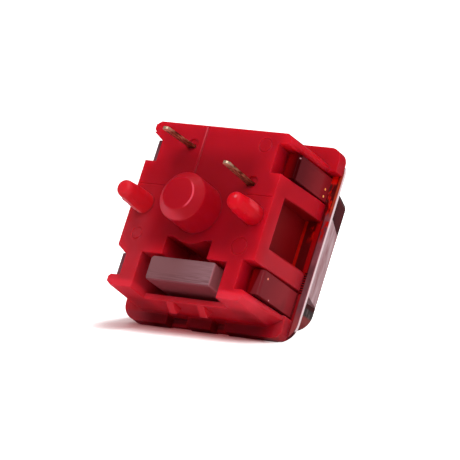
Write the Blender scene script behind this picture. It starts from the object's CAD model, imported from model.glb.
import bpy
from mathutils import Matrix, Vector

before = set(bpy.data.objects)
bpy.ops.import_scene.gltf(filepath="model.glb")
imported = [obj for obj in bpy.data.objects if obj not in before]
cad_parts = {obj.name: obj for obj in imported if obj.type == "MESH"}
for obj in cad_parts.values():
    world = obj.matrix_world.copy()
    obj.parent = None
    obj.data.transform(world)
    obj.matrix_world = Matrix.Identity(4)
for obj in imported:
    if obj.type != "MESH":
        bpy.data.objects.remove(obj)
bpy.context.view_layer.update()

scene = bpy.context.scene
scene.view_settings.view_transform = "Standard"

# Camera. A long lens close to the desk looks at the switch's underside from the corner
# between the light side and the pocketed side. The switch lies on its light side.
MM = 0.001
CAMERA_PLACE = Vector((-172.55, -83.14, -236.50)) * MM
CAMERA_LOOKS = Vector((0.5601, 0.2707, 0.7829))
CAMERA_UP = Vector((0.094, 0.918, -0.385))
SENSOR_WIDTH = 36.0
FOCAL_PIXELS = 4000.0
FRAME_PIXELS = 460.0

eye = bpy.data.cameras.new("camera")
eye.sensor_width = SENSOR_WIDTH
eye.lens = FOCAL_PIXELS / FRAME_PIXELS * SENSOR_WIDTH
eye.clip_start = 0.005
eye_object = bpy.data.objects.new("camera", eye)
scene.collection.objects.link(eye_object)
back = -CAMERA_LOOKS.normalized()
right = CAMERA_UP.cross(back).normalized()
up = back.cross(right)
eye_object.matrix_world = Matrix((
    (right.x, up.x, back.x, CAMERA_PLACE.x),
    (right.y, up.y, back.y, CAMERA_PLACE.y),
    (right.z, up.z, back.z, CAMERA_PLACE.z),
    (0.0, 0.0, 0.0, 1.0)))
scene.camera = eye_object

# Desk. A matt white sheet of paper under the switch, which touches it along the flange's
# long edge and the edge of the upper housing. The paper is overexposed to white, and a
# soft red shadow stays on it close to the switch.
FLANGE_EDGE = Vector((0.0, -7.82, 6.0)) * MM
COVER_EDGE = Vector((0.0, -5.0, 11.6)) * MM
DESK_REACH = 0.9                    # metres to each side
SHADE_REACH = 4.3                   # mm; the paper is white again this far from the switch
SHADE_EDGE = (0.30, 0.84)           # share of open sky where the paper is darkest, and white
SHADE_LEAN = (8.0, 0.15)            # mm to each side, and the share added or taken there
SHADE_TAIL = (5.5, 9.0)             # mm; here the shadow draws out beyond the flange's end
SHADE_TAIL_GAIN = (-0.1, 2.2)       # how much deeper it is at the two ends of that length
BRIGHT_SLOPE = 0.8                  # the paper stays white beyond a slanting line
BRIGHT_SHIFT = -4.8                 # mm
BRIGHT_EDGE = (5.0, 7.0)            # mm
PAPER_MIRRORED = 0.30               # brightness of the paper in the glossy plastic
LAIN_ON_Z = (7.0, 7.2)              # mm; beyond this height the paper lets light through
LAIN_ON_REACH = 14.0                # mm from the middle of the switch's mounting plane


def linear(code):
    """An sRGB hex colour as the linear values that a shader takes."""
    parts = []
    for i in (1, 3, 5):
        v = int(code[i:i + 2], 16) / 255.0
        parts.append(v / 12.92 if v <= 0.04045 else ((v + 0.055) / 1.055) ** 2.4)
    return (parts[0], parts[1], parts[2], 1.0)


def add(tree, kind, inputs=None, **settings):
    """Add a node, set its settings, and fill its inputs with values or links."""
    node = tree.nodes.new(kind)
    for name, value in settings.items():
        setattr(node, name, value)
    for name, value in (inputs or {}).items():
        if isinstance(value, bpy.types.NodeSocket):
            tree.links.new(value, node.inputs[name])
        else:
            node.inputs[name].default_value = value
    return node


def new_material(name):
    """A material with an empty node tree, and that tree."""
    material = bpy.data.materials.new(name)
    material.use_nodes = True
    material.node_tree.nodes.clear()
    return material, material.node_tree


along_x = Vector((1.0, 0.0, 0.0))
desk_slope = (COVER_EDGE - FLANGE_EDGE).normalized()
desk_up = desk_slope.cross(along_x).normalized()
desk_mesh = bpy.data.meshes.new("desk")
corners = [FLANGE_EDGE + along_x * (sx * DESK_REACH) + desk_slope * (sy * DESK_REACH)
           for sx, sy in ((-1, -1), (1, -1), (1, 1), (-1, 1))]
desk_mesh.from_pydata([tuple(c) for c in corners], [], [(0, 1, 2, 3)])
if desk_mesh.polygons[0].normal.dot(desk_up) < 0:
    desk_mesh.flip_normals()
desk = bpy.data.objects.new("desk", desk_mesh)
scene.collection.objects.link(desk)

desk_material, tree = new_material("white_paper")
path = add(tree, "ShaderNodeLightPath")
side = add(tree, "ShaderNodeNewGeometry")
paper = add(tree, "ShaderNodeBsdfDiffuse", {"Color": linear("#F2F0F0")})
sky = add(tree, "ShaderNodeAmbientOcclusion", {"Distance": SHADE_REACH * MM}, samples=16)
spot = add(tree, "ShaderNodeSeparateXYZ", {"Vector": side.outputs["Position"]})

# The shadow's tone: open sky, with the lean, the tail at one end and the bright side.
lean = add(tree, "ShaderNodeMapRange", {
    "Value": spot.outputs["X"], "From Min": -SHADE_LEAN[0] * MM, "From Max": SHADE_LEAN[0] * MM,
    "To Min": SHADE_LEAN[1], "To Max": -SHADE_LEAN[1]})
tail = add(tree, "ShaderNodeMapRange", {
    "Value": spot.outputs["X"], "From Min": SHADE_TAIL[0] * MM, "From Max": SHADE_TAIL[1] * MM,
    "To Min": SHADE_TAIL_GAIN[0], "To Max": SHADE_TAIL_GAIN[1]})
covered = add(tree, "ShaderNodeMath", {0: 1.0, 1: sky.outputs["AO"]}, operation="SUBTRACT")
deeper = add(tree, "ShaderNodeMath", {0: covered.outputs[0], 1: tail.outputs["Result"]},
             operation="MULTIPLY")
tone = add(tree, "ShaderNodeMath", {0: lean.outputs["Result"], 1: sky.outputs["AO"]}, operation="ADD")
tone = add(tree, "ShaderNodeMath", {0: tone.outputs[0], 1: deeper.outputs[0]}, operation="SUBTRACT")
clear_of_it = add(tree, "ShaderNodeMapRange", {
    "Value": tone.outputs[0], "From Min": SHADE_EDGE[0], "From Max": SHADE_EDGE[1]},
    interpolation_type="SMOOTHSTEP")
beyond = add(tree, "ShaderNodeMath", {0: spot.outputs["Z"], 1: BRIGHT_SLOPE, 2: BRIGHT_SHIFT * MM},
             operation="MULTIPLY_ADD")
beyond = add(tree, "ShaderNodeMath", {0: beyond.outputs[0], 1: spot.outputs["X"]}, operation="SUBTRACT")
bright_side = add(tree, "ShaderNodeMapRange", {
    "Value": beyond.outputs[0], "From Min": BRIGHT_EDGE[0] * MM, "From Max": BRIGHT_EDGE[1] * MM})
whole = add(tree, "ShaderNodeMath", {0: clear_of_it.outputs["Result"], 1: bright_side.outputs["Result"]},
            operation="MAXIMUM")
warm = add(tree, "ShaderNodeMix", {
    "Factor": whole.outputs[0], "A": linear("#6A1A1E"), "B": linear("#FFFFFF")}, data_type="RGBA")
glow = add(tree, "ShaderNodeEmission", {"Color": warm.outputs["Result"], "Strength": 1.0})
seen = add(tree, "ShaderNodeAddShader")
tree.links.new(paper.outputs[0], seen.inputs[0])
tree.links.new(glow.outputs[0], seen.inputs[1])

# What glossy and clear plastic mirrors is a plain white sheet, darker in the shadow.
in_gloss = add(tree, "ShaderNodeMath", {0: whole.outputs[0], 1: PAPER_MIRRORED}, operation="MULTIPLY")
white = add(tree, "ShaderNodeEmission", {"Color": (1.0, 1.0, 1.0, 1.0), "Strength": in_gloss.outputs[0]})
mirrored = add(tree, "ShaderNodeMath", {
    0: path.outputs["Is Glossy Ray"], 1: path.outputs["Is Transmission Ray"]}, operation="MAXIMUM")
lit = add(tree, "ShaderNodeMixShader", {0: path.outputs["Is Camera Ray"]})
tree.links.new(paper.outputs[0], lit.inputs[1])
tree.links.new(seen.outputs[0], lit.inputs[2])
bright = add(tree, "ShaderNodeMixShader", {0: mirrored.outputs[0]})
tree.links.new(lit.outputs[0], bright.inputs[1])
tree.links.new(white.outputs[0], bright.inputs[2])

# The sheet has one side, and near the switch it lets light through to the face lying on it.
clear = add(tree, "ShaderNodeBsdfTransparent")
lain_on = add(tree, "ShaderNodeMapRange", {
    "Value": spot.outputs["Z"], "From Min": LAIN_ON_Z[0] * MM, "From Max": LAIN_ON_Z[1] * MM})
lain_on = add(tree, "ShaderNodeMath", {0: lain_on.outputs["Result"], 1: path.outputs["Is Camera Ray"]},
              operation="SUBTRACT", use_clamp=True)
near_it = add(tree, "ShaderNodeVectorMath", {0: side.outputs["Position"]}, operation="LENGTH")
near_it = add(tree, "ShaderNodeMath", {0: near_it.outputs["Value"], 1: LAIN_ON_REACH * MM},
              operation="LESS_THAN")
let_in = add(tree, "ShaderNodeMath", {0: lain_on.outputs[0], 1: near_it.outputs[0]}, operation="MULTIPLY")
let_in = add(tree, "ShaderNodeMath", {0: let_in.outputs[0], 1: side.outputs["Backfacing"]},
             operation="MAXIMUM")
one_sided = add(tree, "ShaderNodeMixShader", {0: let_in.outputs[0]})
tree.links.new(bright.outputs[0], one_sided.inputs[1])
tree.links.new(clear.outputs[0], one_sided.inputs[2])
add(tree, "ShaderNodeOutputMaterial", {"Surface": one_sided.outputs[0]})
desk_mesh.materials.append(desk_material)

# Light. A white backdrop behind the switch, a dark room round the camera, and soft boxes.
# Only the backdrop's side of the room mirrors in the glossy plastic.
AMBIENT = 0.42
BACKDROP_EDGE = (0.6, 0.95)         # cosines to the camera's direction between which the wall fades
WALL_MIRRORED = 0.10
ROOM_MIRRORED = 0.02
ROOM_TINT = (1.0, 0.985, 0.98, 1.0)    # linear, a little warmer than white
room = bpy.data.worlds.new("white_room")
room.use_nodes = True
tree = room.node_tree
tree.nodes.clear()
path = add(tree, "ShaderNodeLightPath")
mirrored = add(tree, "ShaderNodeMath", {
    0: path.outputs["Is Glossy Ray"], 1: path.outputs["Is Transmission Ray"]}, operation="MAXIMUM")
ray = add(tree, "ShaderNodeTexCoord")
behind = add(tree, "ShaderNodeVectorMath", {0: ray.outputs["Generated"], 1: CAMERA_LOOKS},
             operation="DOT_PRODUCT")
wall = add(tree, "ShaderNodeMapRange", {
    "Value": behind.outputs["Value"], "From Min": BACKDROP_EDGE[0], "From Max": BACKDROP_EDGE[1],
    "To Min": ROOM_MIRRORED, "To Max": WALL_MIRRORED})
reflected = add(tree, "ShaderNodeMath", {0: mirrored.outputs[0], 1: wall.outputs["Result"]},
                operation="MULTIPLY")
shown = add(tree, "ShaderNodeMath", {0: path.outputs["Is Camera Ray"], 1: reflected.outputs[0]},
            operation="MAXIMUM")
unmirrored = add(tree, "ShaderNodeMath", {0: 1.0, 1: mirrored.outputs[0]}, operation="SUBTRACT")
level = add(tree, "ShaderNodeMath", {0: unmirrored.outputs[0], 1: AMBIENT}, operation="MULTIPLY")
ambient = add(tree, "ShaderNodeBackground", {"Color": ROOM_TINT, "Strength": level.outputs[0]})
plain = add(tree, "ShaderNodeBackground", {"Color": (1.0, 1.0, 1.0, 1.0), "Strength": 1.0})
both = add(tree, "ShaderNodeMixShader", {0: shown.outputs[0]})
tree.links.new(ambient.outputs[0], both.inputs[1])
tree.links.new(plain.outputs[0], both.inputs[2])
add(tree, "ShaderNodeOutputWorld", {"Surface": both.outputs[0]})
scene.world = room

SOFT_BOXES = [                      # name, metres along desk_up, camera right and back, size, watts
    ("overhead", (0.30, 0.0, 0.0), 0.20, 0.20),
    ("over_front", (0.22, 0.0, 0.22), 0.16, 0.30),
    ("right", (0.10, 0.28, 0.04), 0.16, 0.02),
    ("behind_right", (0.12, 0.26, -0.14), 0.14, 0.12),
    ("front_low", (0.03, 0.06, 0.30), 0.14, 0.03),
    ("front_left", (0.10, -0.16, 0.24), 0.14, 0.03),
]
MIRRORED_BOXES = ("overhead", "over_front")
for name, (height, aside, towards), size, watts in SOFT_BOXES:
    lamp = bpy.data.lights.new(name, "AREA")
    lamp.shape = "SQUARE"
    lamp.size = size
    lamp.energy = watts
    lamp_object = bpy.data.objects.new(name, lamp)
    place = desk_up * height + right * aside + back * towards
    lamp_object.location = place
    lamp_object.rotation_euler = place.to_track_quat("Z", "Y").to_euler()
    lamp_object.visible_glossy = name in MIRRORED_BOXES
    scene.collection.objects.link(lamp_object)

# Bottom housing. Injection-moulded nylon, dyed red through. The mould's spark-eroded
# finish leaves a fine grain, and light enters the thin walls and comes back redder.
GRAIN = 0.14                        # mm; the real grain is finer and would not show
GRAIN_DEPTH = 0.01                  # mm
FLOW = 3.0                          # mm; slow drift of gloss where the melt flowed
EDGE_ROUND = 0.09                   # mm; radius on moulded edges
POST_ROUND = 0.20                   # mm; radius on the post's edges
THIN_WALL = 1.3                     # mm; parts up to this thick glow with the light in them
NYLON_DEPTH = 1.4                   # mm; how far red light travels inside
PEG_SHINE = Vector((-5.25, 0.2, -3.2)) * MM    # where a lamp's reflection stands on one peg


def give(names, material):
    """Put one material on the CAD nodes that share it, and name the record's slot for them."""
    for name in names:
        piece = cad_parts[name]
        piece.data.materials.clear()
        piece.data.materials.append(material)


def places(tree):
    """A surface point's measures in the part's frame, also x and y without their sign."""
    spot = add(tree, "ShaderNodeTexCoord").outputs["Object"]
    place = add(tree, "ShaderNodeSeparateXYZ", {"Vector": spot})
    at = {"spot": spot, "x": place.outputs["X"], "y": place.outputs["Y"], "z": place.outputs["Z"]}
    for name, signed in (("across", "x"), ("along", "y")):
        at[name] = add(tree, "ShaderNodeMath", {0: at[signed]}, operation="ABSOLUTE").outputs[0]
    return at


def area(at, *limits):
    """The mask that limits share. Each is a mask's name, a number, or a measure's name with the
    millimetres at which the mask starts to rise and is full."""
    tree = at["spot"].id_data
    total = 1.0
    for limit in limits:
        mask = at[limit] if isinstance(limit, str) else limit
        if isinstance(limit, tuple):
            measure, start, full = limit
            mask = add(tree, "ShaderNodeMapRange", {
                "Value": at[measure], "From Min": min(start, full) * MM, "From Max": max(start, full) * MM,
                "To Min": float(start > full), "To Max": float(start < full)},
                interpolation_type="SMOOTHSTEP").outputs["Result"]
        total = add(tree, "ShaderNodeMath", {0: total, 1: mask}, operation="MULTIPLY").outputs[0]
    return total


def coated(under, at, coats):
    """Coats of colour laid over one another, each with its strength and the limits of its area."""
    for over, strength, limits in coats:
        mask = area(at, *limits, strength)
        low, high = (linear(colour) if isinstance(colour, str) else colour for colour in (under, over))
        under = add(mask.id_data, "ShaderNodeMix", {"Factor": mask, "A": low, "B": high},
                    data_type="RGBA").outputs["Result"]
    return under


nylon, tree = new_material("moulded_red_nylon")
at = places(tree)
grain = add(tree, "ShaderNodeTexNoise", {"Vector": at["spot"], "Scale": 1.0 / (GRAIN * MM), "Detail": 2.0})
flow = add(tree, "ShaderNodeTexNoise", {"Vector": at["spot"], "Scale": 1.0 / (FLOW * MM), "Detail": 3.0})
at["flow"] = flow.outputs["Fac"]

# Light shows inside the plastic where a wall is thin, less so in the flange, and not in the post.
thickness = add(tree, "ShaderNodeAmbientOcclusion", {"Distance": THIN_WALL * MM}, inside=True,
                only_local=True, samples=8)
thin = add(tree, "ShaderNodeMapRange", {
    "Value": thickness.outputs["AO"], "From Min": 0.0, "From Max": 0.8, "To Min": 1.0, "To Max": 0.0})
at["thin"] = thin.outputs["Result"]
at["post"] = area(at, ("across", 2.2, 2.1), ("along", 2.2, 2.1), ("z", -0.02, -0.06))
at["pegs"] = area(at, ("across", 3.9, 4.0), ("z", -0.02, -0.3))
for name, duller in (("off_flange", area(at, ("z", 4.4, 4.9), 0.7)), ("off_post", at["post"])):
    at[name] = add(tree, "ShaderNodeMath", {0: 1.0, 1: duller}, operation="SUBTRACT").outputs[0]

# Three measures more: towards one corner, from the post's axis, and from the lamp's reflection.
at["to_corner"] = add(tree, "ShaderNodeMath", {0: at["x"], 1: at["y"]}, operation="SUBTRACT").outputs[0]
flat = add(tree, "ShaderNodeCombineXYZ", {"X": at["x"], "Y": at["y"]})
at["from_axis"] = add(tree, "ShaderNodeVectorMath", {0: flat.outputs["Vector"]},
                      operation="LENGTH").outputs["Value"]
at["from_shine"] = add(tree, "ShaderNodeVectorMath", {0: at["spot"], 1: PEG_SHINE},
                       operation="DISTANCE").outputs["Value"]
HAZY_FACES = [                      # faces that mirror the pale room
    [("x", 2.0, 5.0), ("y", 3.0, -2.0)],
    [("across", 6.3, 6.5), ("y", 2.0, -2.0)],
    [("y", -6.2, -6.6), ("z", 4.6, 4.0)],
]
at["hazy"] = 0.0
for limits in HAZY_FACES:
    at["hazy"] = add(tree, "ShaderNodeMath", {0: at["hazy"], 1: area(at, *limits)},
                     operation="MAXIMUM").outputs[0]
at["seam"] = area(at, ("z", -0.005, -0.015), ("y", 2.5, 2.6), ("x", 1.62, 1.56), ("x", 1.40, 1.44))
lower_lip = coated("#780C1A", at, [("#B43846", 1.0, [("x", 4.6, 6.4)])])

NYLON_COATS = [                     # colour, strength, limits
    ("#C40922", 1.0, ["flow"]),
    ("#EE1830", 1.0, ["thin", "off_flange", "off_post"]),
    ("#E80822", 0.9, ["pegs"]),                         # the pegs, their roots and gleams
    ("#A80010", 0.5, ["pegs", ("z", -1.8, -0.3), ("x", -3.0, -4.0)]),
    ("#FF8C98", 0.6, ["pegs", ("to_corner", 5.70, 5.86), ("z", -2.9, -2.6)]),
    ("#FF7884", 0.25, ["pegs", ("to_corner", -5.92, -6.04), ("z", -2.2, -1.9), ("z", -0.6, -1.0)]),
    ("#FF9CA4", 0.7, [("from_shine", 0.20, 0.08)]),
    ("#FF2840", 0.8, [("across", 2.3, 2.1), ("y", -1.9, -2.2), ("y", -4.3, -4.0),
                      ("z", 0.05, 0.4), ("z", 3.8, 3.6)]),      # the slot for a lamp's leads
    ("#FA263E", 1.0, [("y", -6.0, -6.4), ("z", 3.0, 1.2), ("x", -2.8, -3.4)]),
    ("#FA263E", 0.7, [("y", -6.1, -6.5), ("z", 3.0, 1.2), ("x", 2.8, 3.4)]),
    ("#D0707E", 0.12, ["hazy"]),
    ("#A4051A", 1.0, [("across", 5.0, 3.2), ("y", 6.2, 3.6), ("y", -4.2, -2.4),
                      ("z", -0.06, -0.02)]),                    # the floor over the cavity
    ("#E23C4E", 1.0, ["post", ("z", -2.50, -2.62), ("from_axis", 1.20, 1.50), ("to_corner", 0.4, 2.2)]),
    ("#F4546A", 1.0, ["post", ("z", -3.12, -3.16), ("from_axis", 1.24, 1.27), ("x", -0.7, -1.15)]),
    ("#98061A", 0.6, ["seam"]),                         # the parting line and its shaded side
    ("#FF5A6C", 0.6, ["seam", ("y", 3.8, 6.0)]),
    ("#6A000C", 0.6, [("z", 0.3, 0.2), ("y", 2.5, 2.6), ("x", 1.36, 1.40), ("x", 1.46, 1.42)]),
    ("#8A0012", 0.35, [("z", 3.2, 4.2), ("y", -6.0, -6.6), ("x", -3.5, -5.0)]),
    ("#8A040C", 1.0, [("across", 5.4, 5.55), ("along", 2.3, 2.1), ("z", 0.9, 2.6)]),    # the pockets
    (lower_lip, 1.0, [("y", -6.9, -7.2), ("z", 4.7, 4.9), ("x", -7.1, -4.8)]),
]
tint = coated("#B4061C", at, NYLON_COATS)
gloss = add(tree, "ShaderNodeMapRange", {"Value": flow.outputs["Fac"], "To Min": 0.30, "To Max": 0.46})
round_off = add(tree, "ShaderNodeMapRange", {
    "Value": at["post"], "To Min": EDGE_ROUND * MM, "To Max": POST_ROUND * MM})
edge = add(tree, "ShaderNodeBevel", {"Radius": round_off.outputs["Result"]}, samples=6)
bump = add(tree, "ShaderNodeBump", {
    "Height": grain.outputs["Fac"], "Strength": 0.25, "Distance": GRAIN_DEPTH * MM,
    "Normal": edge.outputs["Normal"]})
surface = add(tree, "ShaderNodeBsdfPrincipled", {
    "Base Color": tint, "Roughness": gloss.outputs["Result"], "IOR": 1.53, "Specular IOR Level": 0.20,
    "Subsurface Weight": 0.7, "Subsurface Radius": (1.0, 0.05, 0.05), "Subsurface Scale": NYLON_DEPTH * MM,
    "Normal": bump.outputs["Normal"]})
add(tree, "ShaderNodeOutputMaterial", {"Surface": surface.outputs[0]})
give(["bottom_housing"], nylon)

# Stem. Low-friction acetal in the same red, moulded a little smoother than the housing, so
# its highlights are tighter and less light goes into it.
ACETAL_DEPTH = 0.6                  # mm
acetal, tree = new_material("moulded_red_acetal")
spot = add(tree, "ShaderNodeTexCoord").outputs["Object"]
grain = add(tree, "ShaderNodeTexNoise", {"Vector": spot, "Scale": 1.0 / (GRAIN * MM), "Detail": 2.0})
bump = add(tree, "ShaderNodeBump", {
    "Height": grain.outputs["Fac"], "Strength": 0.15, "Distance": GRAIN_DEPTH * MM})
surface = add(tree, "ShaderNodeBsdfPrincipled", {
    "Base Color": linear("#C00A1E"), "Roughness": 0.32, "IOR": 1.48, "Specular IOR Level": 0.25,
    "Subsurface Weight": 0.2, "Subsurface Radius": (1.0, 0.1, 0.08), "Subsurface Scale": ACETAL_DEPTH * MM,
    "Normal": bump.outputs["Normal"]})
add(tree, "ShaderNodeOutputMaterial", {"Surface": surface.outputs[0]})
give(["stem"], acetal)

# Upper housing. Polycarbonate with a smoky burgundy tint, moulded to a polish, so the
# outer faces mirror the white room and the clips show the red walls behind them.
STREAK = 1.5                        # mm; clouds in the tint, drawn out along the flow
FLASH = 0.4                         # mm; broken red reflections under the rim
DOTS = 0.1                          # mm; half the spacing of the dotted line where wall meets rim
poly, tree = new_material("smoky_polycarbonate")
at = places(tree)
flow = add(tree, "ShaderNodeTexNoise", {"Vector": at["spot"], "Scale": 1.0 / (FLOW * MM), "Detail": 3.0})
gloss = add(tree, "ShaderNodeMapRange", {"Value": flow.outputs["Fac"], "To Min": 0.10, "To Max": 0.22})
edge = add(tree, "ShaderNodeBevel", {"Radius": EDGE_ROUND * MM}, samples=6)
drawn = add(tree, "ShaderNodeMapping", {"Vector": at["spot"], "Scale": (1.0, 0.6, 1.0)})
streak = add(tree, "ShaderNodeTexNoise", {
    "Vector": drawn.outputs["Vector"], "Scale": 1.0 / (STREAK * MM), "Detail": 4.0})
at["cloudy"] = add(tree, "ShaderNodeMapRange", {
    "Value": streak.outputs["Fac"], "From Min": 0.35, "From Max": 0.65}).outputs["Result"]
at["smudged"] = add(tree, "ShaderNodeMapRange", {
    "Value": flow.outputs["Fac"], "From Min": 0.50, "From Max": 0.62}).outputs["Result"]
jagged = add(tree, "ShaderNodeMapping", {"Vector": at["spot"], "Scale": (1.0, 0.45, 1.0)})
flash = add(tree, "ShaderNodeTexNoise", {
    "Vector": jagged.outputs["Vector"], "Scale": 1.0 / (FLASH * MM), "Detail": 3.0})
at["broken"] = add(tree, "ShaderNodeMapRange", {
    "Value": flash.outputs["Fac"], "From Min": 0.50, "From Max": 0.60}).outputs["Result"]
at["dots"] = add(tree, "ShaderNodeMath", {0: at["y"], 1: DOTS * MM}, operation="PINGPONG").outputs[0]

# The frosted side panel's two slanting edges, and the slanting end of the light side's clips.
PANEL_SLOPES = (-0.0558, -0.139)    # how far each edge leans in Y for each mm of height
CLIP_END_SLOPE = -0.175
at["upper_edge"] = add(tree, "ShaderNodeMath", {0: at["z"], 1: PANEL_SLOPES[0], 2: at["y"]},
                       operation="MULTIPLY_ADD").outputs[0]
at["lower_edge"] = add(tree, "ShaderNodeMath", {0: at["z"], 1: PANEL_SLOPES[1], 2: at["y"]},
                       operation="MULTIPLY_ADD").outputs[0]
at["facing"] = add(tree, "ShaderNodeMath", {0: at["y"], 1: CLIP_END_SLOPE, 2: at["across"]},
                   operation="MULTIPLY_ADD").outputs[0]
at["ends"] = add(tree, "ShaderNodeMath", {
    0: area(at, ("facing", 6.98, 6.90), ("y", 0.5, -0.5)), 1: area(at, ("y", -0.5, 0.5))},
    operation="MAXIMUM").outputs[0]
at["clip_ends"] = area(at, ("z", 1.60, 1.45), "ends")
at["panel"] = area(at, ("upper_edge", 2.49, 2.43), ("lower_edge", -4.60, -4.54), ("z", 6.42, 6.5),
                   ("across", 5.0, 5.06))
at["rim_edge"] = area(at, ("across", 7.52, 7.60), ("z", 6.06, 6.14), ("z", 6.47, 6.44))
at["under_rim"] = area(at, ("z", 6.06, 6.02), ("across", 5.4, 5.5), ("z", 5.9, 5.98))
at["low_corner"] = area(at, ("lower_edge", -4.60, -4.66), ("z", 6.42, 6.5), ("across", 4.2, 4.6),
                        ("y", -2.0, -3.0))
clip_end = coated("#860208", at, [("#420206", 1.0, [("across", 5.7, 6.6)])])
wall = coated("#480F16", at, [("#5E151D", 1.0, ["cloudy"])])
frost = coated("#BE7E86", at, [("#E4BCC2", 1.0, ["cloudy"]), ("#E8CED2", 0.6, [("z", 7.6, 6.5)])])
mauve = coated("#70303A", at, [("#A85C66", 1.0, ["cloudy"])])

CLIP_COATS = [                      # colour, strength, limits
    ("#9C1E28", 1.0, [("z", 1.5, 5.6)]),
    ("#B84048", 0.35, [("y", 0.5, -0.5)]),
    ("#4A0610", 0.35, ["smudged"]),
    (clip_end, 1.0, ["clip_ends"]),
    ("#94606A", 0.7, [("x", 6.0, 6.3)]),
]
RIM_COATS = [
    (wall, 1.0, [("z", 5.9, 6.1)]),
    (frost, 1.0, ["panel"]),
    ("#D6BEC2", 1.0, ["rim_edge"]),
    ("#C0606A", 1.0, [("across", 7.60, 7.66), ("z", 6.14, 6.06)]),
    ("#5E0206", 1.0, ["under_rim"]),
    (mauve, 1.0, ["under_rim", ("y", 3.2, 2.4), ("across", 7.16, 7.28)]),
    ("#9C0C18", 1.0, ["under_rim", ("y", -2.3, -2.5), ("across", 7.28, 7.16)]),
    ("#6A040C", 1.0, ["under_rim", ("y", -3.4, -3.8), ("across", 7.06, 6.98)]),
    ("#A84A4C", 1.0, ["under_rim", ("y", -4.8, -6.4), ("across", 7.2, 7.3)]),
    ("#5C3A3E", 0.6, ["under_rim", ("y", -1.0, -2.0), ("y", -5.6, -4.6), ("across", 7.16, 7.28)]),
    ("#C80C04", 1.0, ["under_rim", ("along", 2.4, 2.2), ("across", 5.92, 5.84)]),    # over the pockets
    ("#A4040A", 1.0, ["under_rim", ("along", 2.4, 2.2), ("across", 6.66, 6.76), ("across", 7.16, 7.08)]),
    ("#D80E06", 1.0, ["under_rim", ("y", 2.4, 3.2), ("across", 6.7, 6.8), "broken"]),
    ("#C80C04", 1.0, ["under_rim", ("y", 2.4, 2.2), ("y", 0.2, 1.2), ("across", 6.0, 6.1), "broken"]),
    ("#100002", 1.0, ["under_rim", ("y", -1.9, -2.1), ("y", -3.9, -3.7), ("across", 6.96, 6.98),
                      ("across", 7.24, 7.18), ("dots", 0.02, 0.06)]),           # the dotted line
    ("#D04A2C", 0.7, ["under_rim", ("y", 2.4, 3.2), ("across", 7.44, 7.54)]),
    ("#FF1006", 1.0, ["under_rim", ("y", 5.2, 5.5), ("across", 6.8, 6.9), ("across", 7.4, 7.3)]),
    ("#A81A28", 1.0, [("y", -7.3, -7.5), ("z", 6.5, 6.44), ("across", 7.5, 7.3)]),
    ("#4A080C", 0.7, ["low_corner"]),
    ("#4A3C3C", 1.0, ["low_corner", ("lower_edge", -4.85, -5.1)]),
    ("#6E5C5C", 1.0, ["low_corner", ("lower_edge", -4.85, -5.1), "broken"]),
    ("#A84444", 1.0, ["low_corner", ("lower_edge", -5.5, -5.75)]),
]
shell = coated("#640A16", at, CLIP_COATS + RIM_COATS)

# Points of light caught in the clips, and the rim's edge, which carries light along.
GLINTS = [                          # y, z and radius in mm on the clips of one side
    (4.66, 5.46, 0.12, "#FF9A38"),
    (4.09, 5.48, 0.12, "#FFA850"),
    (-4.23, 1.94, 0.11, "#F88468"),
    (-5.64, 2.78, 0.07, "#D89098"),
    (5.47, 1.40, 0.07, "#B87880"),
]
GLINT_GLOW = 0.35
GLINT_SIDE = ("x", -6.5, -6.6)
shine = area(at, "rim_edge", 0.30)
shine_tint = "#FFE2E4"
outer_face = add(tree, "ShaderNodeCombineXYZ", {"Y": at["y"], "Z": at["z"]}).outputs["Vector"]
for glint_y, glint_z, radius, colour in GLINTS:
    at["off"] = add(tree, "ShaderNodeVectorMath", {0: outer_face, 1: (0.0, glint_y * MM, glint_z * MM)},
                    operation="DISTANCE").outputs["Value"]
    at["glint"] = area(at, ("off", radius, 0.5 * radius), GLINT_SIDE)
    shell = coated(shell, at, [(colour, 1.0, ["glint"])])
    shine_tint = coated(shine_tint, at, [(colour, 1.0, ["glint"])])
    shine = add(tree, "ShaderNodeMath", {0: at["glint"], 1: GLINT_GLOW, 2: shine},
                operation="MULTIPLY_ADD").outputs[0]

matt = 0.0
for duller in (at["panel"], at["clip_ends"], area(at, ("z", 6.0, 6.06), 0.9)):
    matt = add(tree, "ShaderNodeMath", {0: matt, 1: duller}, operation="MAXIMUM").outputs[0]
level = add(tree, "ShaderNodeMapRange", {"Value": matt, "To Min": 0.15, "To Max": 0.02})
see_through = add(tree, "ShaderNodeMapRange", {"Value": at["panel"], "To Min": 0.03, "To Max": 0.0})
surface = add(tree, "ShaderNodeBsdfPrincipled", {
    "Base Color": shell, "Roughness": gloss.outputs["Result"], "IOR": 1.58,
    "Specular IOR Level": level.outputs["Result"], "Emission Color": shine_tint, "Emission Strength": shine,
    "Transmission Weight": see_through.outputs["Result"], "Normal": edge.outputs["Normal"]})
add(tree, "ShaderNodeOutputMaterial", {"Surface": surface.outputs[0]})
give(["top_housing"], poly)

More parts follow.
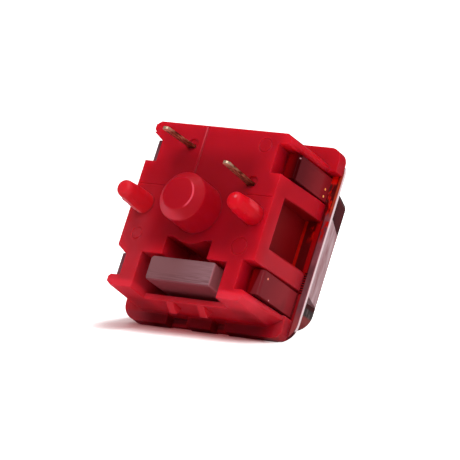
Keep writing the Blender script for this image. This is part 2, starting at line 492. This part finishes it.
# Light guide. A moulded bar of clear polycarbonate whose foot is finely frosted, with faint
# lines along it. It takes on the mauve of the tinted plastic round it.
FROST_LINE = 0.09                   # mm; the real lines are finer and would not show
frosted, tree = new_material("frosted_clear_polycarbonate")
at = places(tree)
flow = add(tree, "ShaderNodeTexNoise", {"Vector": at["spot"], "Scale": 1.0 / (FLOW * MM), "Detail": 3.0})
gloss = add(tree, "ShaderNodeMapRange", {"Value": flow.outputs["Fac"], "To Min": 0.25, "To Max": 0.35})
flat = add(tree, "ShaderNodeMapping", {"Vector": at["spot"], "Scale": (0.06, 1.0, 1.0)})
layers = add(tree, "ShaderNodeTexNoise", {
    "Vector": flat.outputs["Vector"], "Scale": 1.0 / (FROST_LINE * MM), "Detail": 2.0})
at["layers"] = layers.outputs["Fac"]
at["ribbed"] = add(tree, "ShaderNodeMapRange", {
    "Value": layers.outputs["Fac"], "From Min": 0.44, "From Max": 0.56}).outputs["Result"]
GUIDE_COATS = [                     # colour, strength, limits
    ("#C4929A", 1.0, [("x", 0.6, -2.6)]),
    ("#8C5A60", 1.0, [("x", 0.5, -1.8), "layers"]),
    ("#7A4A52", 0.45, [("y", -5.0, -5.6), "ribbed"]),
    ("#9E4A54", 1.0, [("y", -5.86, -5.96)]),
    ("#C67880", 1.0, [("x", -2.86, -2.94)]),
]
bar = coated("#9E686D", at, GUIDE_COATS)
surface = add(tree, "ShaderNodeBsdfPrincipled", {
    "Base Color": bar, "Roughness": gloss.outputs["Result"], "IOR": 1.58,
    "Specular IOR Level": 0.2, "Transmission Weight": 0.2})
add(tree, "ShaderNodeOutputMaterial", {"Surface": surface.outputs[0]})
give(["light_guide"], frosted)

# Terminals and leaf. Phosphor bronze sheet, stamped and folded, with the rolled
# surface's faint lines along the strip. The pins' ends are bright from the shears, and
# their roots take on the red of the housing.
ROLLED_LINE = 0.12                  # mm; the real lines are finer and would not show
SHEARED_ROUND = 0.07                # mm
bronze, tree = new_material("rolled_phosphor_bronze")
at = places(tree)
stretch = add(tree, "ShaderNodeMapping", {"Vector": at["spot"], "Scale": (1.0, 1.0, 0.22)})
lines = add(tree, "ShaderNodeTexNoise", {
    "Vector": stretch.outputs["Vector"], "Scale": 1.0 / (ROLLED_LINE * MM)})
gloss = add(tree, "ShaderNodeMapRange", {"Value": lines.outputs["Fac"], "To Min": 0.28, "To Max": 0.42})
edge = add(tree, "ShaderNodeBevel", {"Radius": SHEARED_ROUND * MM}, samples=6)
at["marked"] = add(tree, "ShaderNodeMapRange", {
    "Value": lines.outputs["Fac"], "From Min": 0.38, "From Max": 0.62}).outputs["Result"]
BRONZE_COATS = [                    # colour, strength, limits
    ("#E4B48E", 1.0, ["marked"]),
    ("#7A2A14", 0.6, [("z", -2.0, -0.2)]),
    ("#FFE0BC", 1.0, [("z", -3.0, -3.7)]),
]
sheet = coated("#5E2C16", at, BRONZE_COATS)
surface = add(tree, "ShaderNodeBsdfPrincipled", {
    "Base Color": sheet, "Metallic": 0.7, "Roughness": gloss.outputs["Result"],
    "Normal": edge.outputs["Normal"]})
add(tree, "ShaderNodeOutputMaterial", {"Surface": surface.outputs[0]})
give(["fixed_terminal", "moving_terminal", "contact_leaf"], bronze)

# Contact points. Gold alloy wire, welded on and pressed to a ridge, so the gold is bright
# with slightly duller patches where the press bore on it.
PRESS_MARK = 0.1                    # mm
gold, tree = new_material("gold_alloy")
spot = add(tree, "ShaderNodeTexCoord").outputs["Object"]
wear = add(tree, "ShaderNodeTexNoise", {"Vector": spot, "Scale": 1.0 / (PRESS_MARK * MM)})
gloss = add(tree, "ShaderNodeMapRange", {"Value": wear.outputs["Fac"], "To Min": 0.12, "To Max": 0.28})
surface = add(tree, "ShaderNodeBsdfPrincipled", {
    "Base Color": linear("#E2B65A"), "Metallic": 1.0, "Roughness": gloss.outputs["Result"]})
add(tree, "ShaderNodeOutputMaterial", {"Surface": surface.outputs[0]})
give(["fixed_contact_point", "moving_contact_point"], gold)

# Return spring. Drawn steel wire, coiled cold and left bright, with the die's faint
# unevenness in its shine.
DIE_MARK = 0.08                     # mm
wire, tree = new_material("drawn_steel_wire")
spot = add(tree, "ShaderNodeTexCoord").outputs["Object"]
drawn = add(tree, "ShaderNodeTexNoise", {"Vector": spot, "Scale": 1.0 / (DIE_MARK * MM)})
gloss = add(tree, "ShaderNodeMapRange", {"Value": drawn.outputs["Fac"], "To Min": 0.15, "To Max": 0.3})
surface = add(tree, "ShaderNodeBsdfPrincipled", {
    "Base Color": linear("#B9B6AE"), "Metallic": 1.0, "Roughness": gloss.outputs["Result"]})
add(tree, "ShaderNodeOutputMaterial", {"Surface": surface.outputs[0]})
give(["return_spring"], wire)
